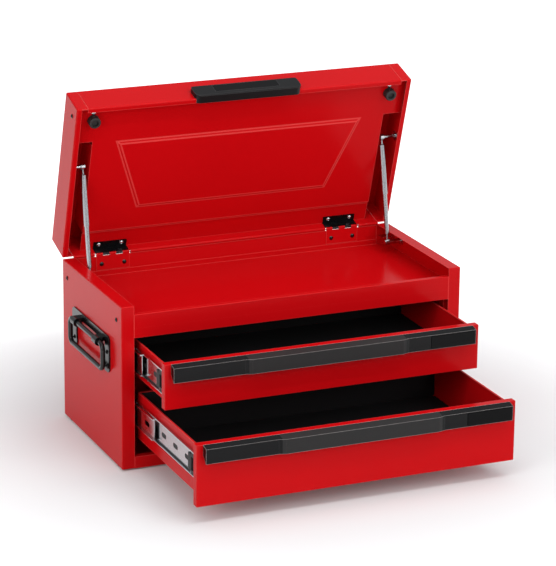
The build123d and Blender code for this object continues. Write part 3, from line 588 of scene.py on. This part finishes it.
class TOOLBOX_OT_hardware(bpy.types.Operator):
    """Gives the slides, hinges, catch plates and lid stays their metals"""

    bl_idname = "toolbox.hardware"
    bl_label = "Hardware"

    def execute(self, context):
        options = context.scene.tool_box
        zinc = zinc_plate(options)
        paint(nodes_like("case_rail", "middle_rail", "drawer_rail"), zinc)
        paint(["lid_catch_plates", "hinge_lid_screws", "hinge_pins"], zinc)
        paint(["hinge_lid_leaves"], black_passivate())
        paint(["stay_case_studs", "lid_bumper_screws", "lid_stay_pads"], zinc)
        paint(nodes_like("stay_tube", "stay_rod"), satin_tube())
        return {"FINISHED"}


class TOOLBOX_OT_trim(bpy.types.Operator):
    """Gives the pulls, grip, clips and bare plates their plastics"""

    bl_idname = "toolbox.trim"
    bl_label = "Trim"

    def execute(self, context):
        options = context.scene.tool_box
        plastic = moulded_plastic(options)
        paint(nodes_like("rail_clips") + ["lid_grip"], plastic)
        paint(nodes_like("drawer_pull"), pull_plastic(options))
        paint(nodes_like("drawer_plate") + ["lid_grip_plate"], gloss_plate())
        return {"FINISHED"}


class TOOLBOX_OT_lid_panel(bpy.types.Operator):
    """Rounds the pressed lines of the lid's inner panel and gives them a painted highlight"""

    bl_idname = "toolbox.lid_panel"
    bl_label = "Pressed panel"

    def execute(self, context):
        options = context.scene.tool_box
        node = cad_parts["lid_inner_panel"]
        bm = bmesh.new()
        bm.from_mesh(node.data)
        bmesh.ops.remove_doubles(bm, verts=bm.verts[:], dist=WELD)
        bmesh.ops.dissolve_limit(
            bm, angle_limit=COPLANAR, verts=bm.verts[:], edges=bm.edges[:]
        )
        pressed = [
            e for e in bm.edges
            if len(e.link_faces) == 2
            and PRESSED_OVER < e.calc_face_angle() < PRESSED_UNDER
        ]
        # The rounded faces take the second material, with its painted highlight.
        for face in round_edges(bm, pressed, options.press_radius, 4, clamp_overlap=True):
            face.material_index = 1
        panel = mesh_object("pressed_lid_panel", bm, node.data.materials[0])
        panel.data.materials.append(powder_coat(options, drawn=True))
        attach(panel, "lid")
        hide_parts("lid_inner_panel")
        return {"FINISHED"}


class TOOLBOX_OT_folds(bpy.types.Operator):
    """Adds the folded rims behind the drawer fronts and the rolled edge of the back panel"""

    bl_idname = "toolbox.folds"
    bl_label = "Folded rims"

    def execute(self, context):
        options = context.scene.tool_box
        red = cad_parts["back_panel"].data.materials[0]
        for drawer in ("upper", "lower"):
            self.front_return(drawer, red, options)
        self.back_crest(red, options)
        return {"FINISHED"}

    def front_return(self, drawer, red, options):
        """The rim that is folded in from the four edges of a drawer front."""
        low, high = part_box(f"{drawer}_drawer_front")
        inner = Vector((SHEET, 0.0, SHEET))
        low, high = low + inner, high - inner
        low.y = high.y - SHEET
        bm = bmesh.new()
        box_into(bm, low, high)
        caps = [f for f in bm.faces if abs(f.normal.y) > 0.9]
        bmesh.ops.inset_individual(bm, faces=caps, thickness=options.front_return)
        bridge = [e for f in caps for e in f.edges]
        bmesh.ops.delete(bm, geom=caps, context="FACES_ONLY")
        bmesh.ops.bridge_loops(bm, edges=bridge)
        rim = mesh_object(f"{drawer}_front_return", bm, red)
        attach(rim, f"{drawer}_drawer")

    def back_crest(self, red, options):
        """The upper edge of the back panel, rolled about the hinges' axis. It leaves
        out the hinges and stays inside the lid's end caps."""
        back_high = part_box("back_panel")[1]
        cap_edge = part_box("right_lid_cap")[0].x - SHEET
        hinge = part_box("hinge_pins")
        spans = [
            (-cap_edge, hinge[0].x - PIN_CLEAR),
            (hinge[0].x + HINGE_RUN + PIN_CLEAR, hinge[1].x - HINGE_RUN - PIN_CLEAR),
            (hinge[1].x + PIN_CLEAR, cap_edge),
        ]
        axis = (hinge[0] + hinge[1]) / 2
        turn = Matrix.Rotation(math.pi / 2, 4, "Y")
        bm = bmesh.new()
        for x0, x1 in spans:
            bottom = Vector((x0, back_high.y - SHEET, back_high.z))
            top = Vector((x1, back_high.y, axis.z - SHEET))
            box_into(bm, bottom, top)
            middle = Vector(((x0 + x1) / 2, axis.y, axis.z))
            roll = bmesh.ops.create_cone(
                bm, cap_ends=True, segments=ROLL_FACETS, radius1=options.crest_radius,
                radius2=options.crest_radius, depth=x1 - x0,
                matrix=Matrix.Translation(middle) @ turn,
            )["verts"]
            rims = [
                e for e in edges_of(roll)
                if len(e.link_faces) == 2 and e.calc_face_angle() > ROLL_RIM
            ]
            round_edges(bm, rims, ROLL_RIM_RADIUS, 3)
        crest = mesh_object("back_panel_crest", bm, red)
        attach(crest, "carcass")


class TOOLBOX_OT_slots(bpy.types.Operator):
    """Adds the stops of the drawer rails, and dark plates of painted shade in their slots and
    grooves
    """

    bl_idname = "toolbox.slots"
    # The slot liners are dark plates of painted shade.
    bl_label = "Slot liners"

    def execute(self, context):
        dark = moulded_rubber()
        for drawer in ("upper", "lower"):
            bm = bmesh.new()
            for side in ("left", "right"):
                low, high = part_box(f"{drawer}_{side}_drawer_rail")
                wall, inward = (high.x, -1) if side == "left" else (low.x, 1)
                self.shade_slots(bm, low, high, wall, inward)
                self.end_block(bm, low, high, wall, inward)
            shade_plates = mesh_object(f"{drawer}_slot_shade_plates", bm, dark)
            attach(shade_plates, f"{drawer}_drawer")
        return {"FINISHED"}

    def shade_slots(self, bm, low, high, wall, inward):
        """A dark plate with round ends in each slot of the rail's wall: painted shade."""
        start = low.y + CLIP_ZONE
        pitch = (high.y - start) / SLOT_COUNT
        for i in range(SLOT_COUNT):
            middle = Vector((
                wall + inward * SLOT_DEPTH, start + (i + 0.5) * pitch, (low.z + high.z) / 2
            ))
            made = box_into(bm, middle - SLOT_HALF, middle + SLOT_HALF)
            ends = [e for e in edges_of(made) if reach(e, 0) > SLOT_HALF.x]
            round_edges(bm, ends, SLOT_CORNER, 5)

    def end_block(self, bm, low, high, wall, inward):
        """The damped stop behind the clip, and dark plates of painted shade in the grooves of the
        races.
        """
        middle_z = (low.z + high.z) / 2
        start = low.y + CLIP_ZONE
        end = start + STOP_LENGTH
        near, far, groove = (
            wall + inward * depth for depth in (STOP_NEAR, STOP_FAR, GROOVE_FAR)
        )
        made = box_into(
            bm,
            Vector((min(near, far), start, middle_z - STOP_HALF)),
            Vector((max(near, far), end, middle_z + STOP_HALF)),
        )
        round_edges(bm, edges_of(made), STOP_CORNER, 3)
        for up in (-1, 1):
            z0, z1 = sorted(middle_z + up * part for part in GROOVE_FROM_MIDDLE)
            box_into(
                bm,
                Vector((min(near, groove), end, z0)),
                Vector((max(near, groove), high.y - GROOVE_END, z1)),
            )


class TOOLBOX_OT_mats(bpy.types.Operator):
    """Lays a foam mat in each drawer, and a dark strip of painted shade on its back wall"""

    bl_idname = "toolbox.mats"
    bl_label = "Foam mats"

    def execute(self, context):
        options = context.scene.tool_box
        foam = cell_foam(options)
        for drawer in ("upper", "lower"):
            self.lay_mat(drawer, foam, options)
            self.shade_back_wall(drawer, foam, options)
        return {"FINISHED"}

    def shade_back_wall(self, drawer, foam, options):
        """A dark foam strip on a drawer's back wall, from the mat to the tub's hem: painted
        shade.
        """
        mat_low, mat_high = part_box(f"{drawer}_drawer_mat")
        tub_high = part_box(f"{drawer}_drawer_tub")[1]
        low = Vector((mat_low.x, mat_high.y - STRIP_THICK, mat_high.z + STRIP_LIFT))
        high = Vector((mat_high.x, mat_high.y, tub_high.z - HEM_CLEAR))
        bm = bmesh.new()
        box_into(bm, low, high)
        round_edges(bm, bm.edges[:], options.mat_edge, 3)
        shade_strip = mesh_object(f"{drawer}_back_shade_strip", bm, foam)
        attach(shade_strip, f"{drawer}_drawer")

    def lay_mat(self, drawer, foam, options):
        """The mat on a drawer's floor: round corners, soft cut edges, a wavy top."""
        node = f"{drawer}_drawer_mat"
        low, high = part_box(node)
        size = high - low
        bm = bmesh.new()
        box_into(bm, low, high)
        corners = [e for e in bm.edges if reach(e, 2) > size.z / 2]
        round_edges(bm, corners, MAT_CORNER, 4)
        rims = [e for e in bm.edges if reach(e, 2) < size.z / 2]
        round_edges(bm, rims, options.mat_edge, 3)
        self.cut_cells(bm, low, size)
        for vert in bm.verts:
            if vert.co.z > high.z - MAT_TOP:
                u = (vert.co.x - low.x) / size.x
                v = (vert.co.y - low.y) / size.y
                wave = math.sin(WAVE_LONG[0] * u + WAVE_LONG[1] * v)
                wave *= math.sin(WAVE_WIDE[0] * u + WAVE_WIDE[1] * v)
                vert.co.z -= options.mat_wave * (0.5 + 0.5 * wave)
        mat = mesh_object(f"{drawer}_foam_mat", bm, foam)
        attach(mat, f"{drawer}_drawer")
        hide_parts(node)

    def cut_cells(self, bm, low, size):
        """Cuts a mat across x and y, so that its top can wave."""
        for axis, cells in enumerate(MAT_CELLS):
            normal = [0, 0, 0]
            normal[axis] = 1
            for step in range(1, cells):
                place = [0, 0, 0]
                place[axis] = low[axis] + size[axis] * step / cells
                bmesh.ops.bisect_plane(
                    bm, geom=bm.verts[:] + bm.edges[:] + bm.faces[:],
                    plane_co=place, plane_no=normal,
                )


class TOOLBOX_OT_studio(bpy.types.Operator):
    """Builds the floor, the soft lights and the photograph's camera"""

    bl_idname = "toolbox.studio"
    bl_label = "Studio"

    def execute(self, context):
        self.floor()
        for name, place, size, power in SOFTBOXES:
            self.softbox(name, place, size, power)
        self.surroundings(context.scene)
        self.camera(context.scene)
        context.scene.view_settings.view_transform = "Standard"
        return {"FINISHED"}

    def floor(self):
        """A sheet of paper under the object, for the render alone."""
        bm = bmesh.new()
        bmesh.ops.create_grid(bm, x_segments=1, y_segments=1, size=FLOOR_HALF)
        floor = mesh_object("paper_floor", bm, studio_floor(), smooth=False)

    def softbox(self, name, place, size, power):
        """A soft light that faces the middle of the object."""
        light = bpy.data.lights.new(name, "AREA")
        light.shape = "RECTANGLE"
        light.size, light.size_y = size
        light.energy = power
        lamp = bpy.data.objects.new(name, light)
        lamp.location = place
        aim = SOFTBOX_AIM - Vector(place)
        lamp.rotation_euler = aim.to_track_quat("-Z", "Y").to_euler()
        bpy.context.scene.collection.objects.link(lamp)

    def surroundings(self, scene):
        """Dim cool air that lights the object, and white behind it for the camera."""
        world = bpy.data.worlds.new("studio_air")
        scene.world = world
        world.use_nodes = True
        tree = world.node_tree
        tree.nodes.clear()
        air, backdrop = (
            add_node(tree, "ShaderNodeBackground", {"Color": colour, "Strength": strength})
            for colour, strength in ((AIR_COLOUR, AIR_STRENGTH), (WHITE, 1.0))
        )
        ray = add_node(tree, "ShaderNodeLightPath")
        seen = add_node(
            tree,
            "ShaderNodeMixShader",
            {0: ray.outputs["Is Camera Ray"], 1: air.outputs[0], 2: backdrop.outputs[0]},
        )
        add_node(tree, "ShaderNodeOutputWorld", {"Surface": seen.outputs[0]})

    def camera(self, scene):
        """The photograph's camera, from its place, turn and focal length."""
        ahead = Vector((-math.sin(CAMERA_YAW), math.cos(CAMERA_YAW), 0.0))
        right = Vector((math.cos(CAMERA_YAW), math.sin(CAMERA_YAW), 0.0))
        up = Vector((0.0, 0.0, 1.0))
        view = ahead * math.cos(CAMERA_PITCH) - up * math.sin(CAMERA_PITCH)
        head = up * math.cos(CAMERA_PITCH) + ahead * math.sin(CAMERA_PITCH)
        side = right * math.cos(CAMERA_ROLL) + head * math.sin(CAMERA_ROLL)
        head = head * math.cos(CAMERA_ROLL) - right * math.sin(CAMERA_ROLL)
        lens = bpy.data.cameras.new("photo_camera")
        lens.sensor_width = SENSOR_MM
        lens.lens = FOCAL_PIXELS * SENSOR_MM / IMAGE_HEIGHT
        lens.shift_y = (AXIS_Y_PIXEL - IMAGE_HEIGHT / 2) / IMAGE_HEIGHT
        lens.clip_end = FAR_CLIP
        camera = bpy.data.objects.new("photo_camera", lens)
        case_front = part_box("left_side_panel")[0].y
        place = CAMERA_FROM_CASE + Vector((0.0, case_front, 0.0))
        turn = Matrix((side, head, -view)).transposed().to_4x4()
        camera.matrix_world = Matrix.Translation(place) @ turn
        scene.collection.objects.link(camera)
        scene.camera = camera


OPERATORS = (
    TOOLBOX_OT_case,
    TOOLBOX_OT_hardware,
    TOOLBOX_OT_trim,
    TOOLBOX_OT_lid_panel,
    TOOLBOX_OT_folds,
    TOOLBOX_OT_slots,
    TOOLBOX_OT_mats,
    TOOLBOX_OT_studio,
)


class TOOLBOX_PT_panel(bpy.types.Panel):
    """Lists the steps that dress the tool box"""

    bl_label = "Tool box"
    bl_idname = "TOOLBOX_PT_panel"
    bl_space_type = "VIEW_3D"
    bl_region_type = "UI"
    bl_category = "Tool box"

    def draw(self, context):
        options = context.scene.tool_box
        for name in ToolBoxOptions.__annotations__:
            self.layout.prop(options, name)
        for operator in OPERATORS:
            self.layout.operator(operator.bl_idname)


CLASSES = (ToolBoxOptions, *OPERATORS, TOOLBOX_PT_panel)


def register():
    for item in CLASSES:
        bpy.utils.register_class(item)
    bpy.types.Scene.tool_box = bpy.props.PointerProperty(type=ToolBoxOptions)


def unregister():
    del bpy.types.Scene.tool_box
    for item in reversed(CLASSES):
        bpy.utils.unregister_class(item)


def main():
    register()
    bpy.ops.toolbox.case()
    bpy.ops.toolbox.hardware()
    bpy.ops.toolbox.trim()
    bpy.ops.toolbox.lid_panel()
    bpy.ops.toolbox.folds()
    bpy.ops.toolbox.slots()
    bpy.ops.toolbox.mats()
    bpy.ops.toolbox.studio()


if __name__ == "__main__":
    main()
